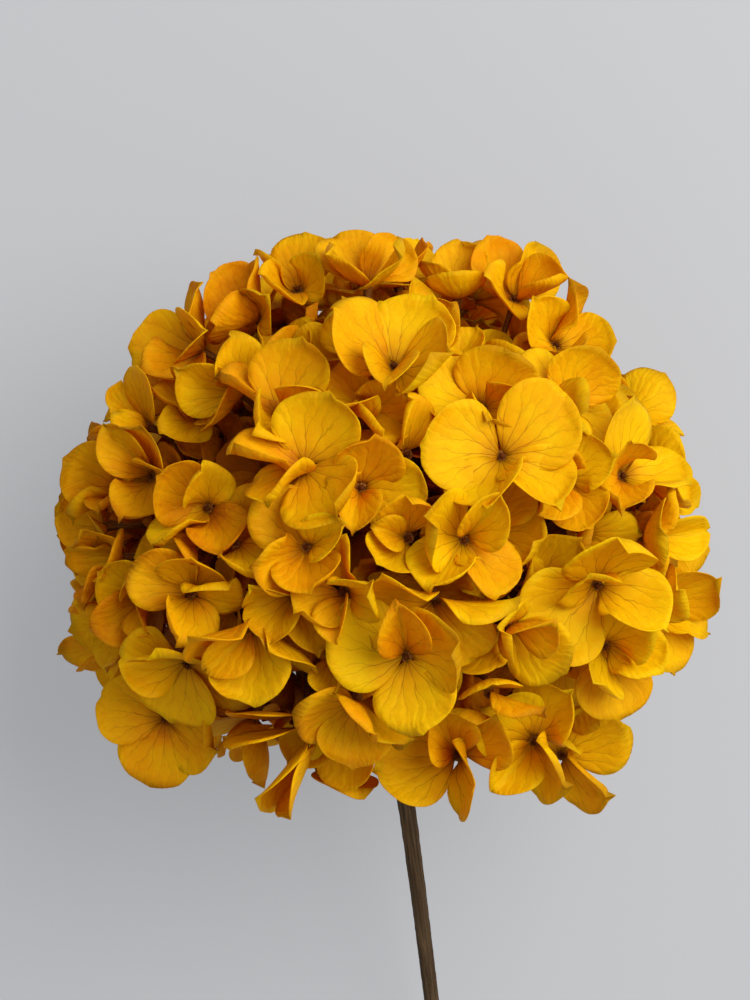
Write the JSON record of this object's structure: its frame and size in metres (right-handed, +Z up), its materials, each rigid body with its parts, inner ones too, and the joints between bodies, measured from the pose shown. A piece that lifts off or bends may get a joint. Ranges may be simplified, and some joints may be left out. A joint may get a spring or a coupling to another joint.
{
  "type": "preserved hydrangea flower",
  "caption": "Round mophead hydrangea bloom of papery golden-yellow florets on branched stalks, with one thin cut stem, lying on its back as picked; a decorative dried flower.",
  "frame": {"origin": "centre of the bounding box in x and y, at its bottom, on the surface that the flower lies on", "axes": "+Y from the cut end of the stem towards the top of the bloom, +Z up from the surface, +X to the bloom's right as seen from above"},
  "size_m": [0.1732, 0.281, 0.1698],
  "materials": {
    "petal": "matt",
    "ray_wood": "matt",
    "stem_bark": "matt"
  },
  "bodies": {
    "root": {"cymule_01": "petal", "cymule_02": "petal", "cymule_03": "petal", "cymule_04": "petal", "cymule_05": "petal", "cymule_06": "petal", "cymule_07": "petal", "cymule_08": "petal", "cymule_09": "petal", "cymule_10": "petal", "cymule_11": "petal", "cymule_12": "petal", "cymule_13": "petal", "cymule_14": "petal", "cymule_15": "petal", "cymule_16": "petal", "cymule_17": "petal", "cymule_18": "petal", "cymule_19": "petal", "cymule_20": "petal", "cymule_21": "petal", "cymule_22": "petal", "cymule_23": "petal", "cymule_24": "petal", "cymule_25": "petal", "cymule_26": "petal", "cymule_27": "petal", "cymule_28": "petal", "cymule_29": "petal", "cymule_30": "petal", "cymule_31": "petal", "cymule_32": "petal", "cymule_33": "petal", "cymule_34": "petal", "cymule_35": "petal", "cymule_36": "petal", "cymule_37": "petal", "cymule_38": "petal", "ray_01": "ray_wood", "ray_02": "ray_wood", "ray_03": "ray_wood", "ray_04": "ray_wood", "ray_05": "ray_wood", "ray_06": "ray_wood", "ray_07": "ray_wood", "ray_08": "ray_wood", "stem": "stem_bark"}
  },
  "joints": []
}
